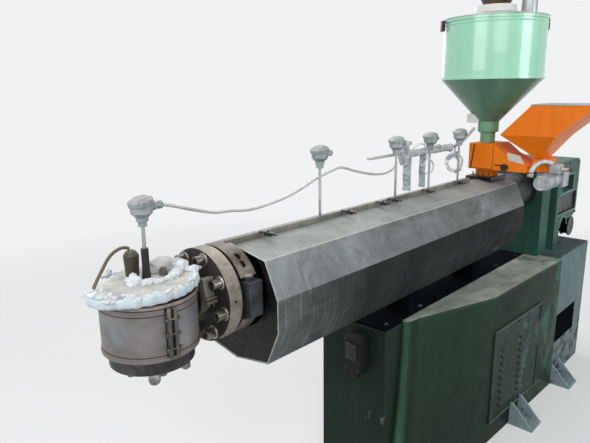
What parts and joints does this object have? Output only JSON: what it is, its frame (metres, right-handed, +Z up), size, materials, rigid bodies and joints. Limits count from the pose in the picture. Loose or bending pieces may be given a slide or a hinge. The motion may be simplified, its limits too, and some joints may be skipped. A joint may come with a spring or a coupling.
{
  "type": "plastic extruder",
  "caption": "Single-screw plastic extruder: long faceted barrel cover on a green base, strand die at one end, hopper, side doser and drive at the other.",
  "frame": {"origin": "on the floor, in the middle of the four anchor holes", "axes": "+X along the barrel from the die towards the drive, -Y the operator side, +Z up"},
  "size_m": [2.906, 0.798, 1.966],
  "materials": {
    "base_green": "dusty satin",
    "deck_dark": "matt",
    "cabinet_blue": "worn satin",
    "feet_blue": "worn satin",
    "gear_green": "worn satin",
    "box_grey": "matt",
    "cover_steel": "dull, scratched",
    "dark_steel": "dark, oily",
    "oxidised_steel": "oxidised",
    "bolt_steel": "oily black",
    "band_steel": "heat stained",
    "copper_ring": "heat stained",
    "blanket_white": "torn ceramic fibre",
    "sensor_aluminium": "cast",
    "sensor_steel": "satin",
    "braid_grey": "metal braid",
    "doser_orange": "satin",
    "plate_white": "matt",
    "knob_black": "semi-gloss",
    "motor_grey": "painted cast",
    "hopper_green": "satin",
    "lid_grey": "satin",
    "loader_white": "satin",
    "loader_brown": "smoked"
  },
  "bodies": {
    "root": {"base_frame": "base_green", "deck_plate": "deck_dark", "near_cover": "base_green", "far_side_sheet": "base_green", "access_panel": "base_green", "anchor_feet": "feet_blue", "socket_box": "box_grey", "drive_cabinet": "cabinet_blue", "cabinet_top": "cabinet_blue", "thrust_column": "gear_green", "gear_case": "gear_green", "guard_panel": "gear_green", "guard_plate": "dark_steel", "belt_pulley": "dark_steel", "feed_section": "dark_steel", "barrel": "dark_steel", "cover_near_half": "cover_steel", "cover_far_half": "cover_steel", "cover_end_plates": "dark_steel", "ridge_bar": "cover_steel", "ridge_clips": "knob_black", "barrel_stands": "deck_dark", "barrel_flange": "oxidised_steel", "clamp_ring_upper": "oxidised_steel", "clamp_ring_lower": "oxidised_steel", "clamp_bolts": "bolt_steel", "head_bolts": "bolt_steel", "head_adapter": "dark_steel", "adapter_heater": "band_steel", "die_body": "dark_steel", "die_heater_band": "band_steel", "band_clamp": "bolt_steel", "die_top_ring": "copper_ring", "die_nozzle": "dark_steel", "insulation_blanket": "blanket_white", "bulb_plug": "knob_black", "bulb_conduit": "braid_grey", "sensor_stems": "sensor_steel", "sensor_heads": "sensor_aluminium", "sensor_lead": "braid_grey", "lead_duct": "sensor_aluminium", "lead_wraps": "braid_grey", "doser_housing": "doser_orange", "doser_flange": "dark_steel", "doser_plate": "plate_white", "doser_knob": "knob_black", "doser_hopper": "doser_orange", "doser_hopper_lid": "lid_grey", "doser_motor": "motor_grey", "motor_terminal_box": "motor_grey", "hopper_neck": "hopper_green", "hopper_cone": "hopper_green", "hopper_drum": "hopper_green", "hopper_lid": "lid_grey", "hopper_clips": "knob_black", "level_sensor": "loader_white", "loader_base": "loader_white", "loader_body": "loader_brown", "loader_duct": "lid_grey"}
  },
  "joints": []
}
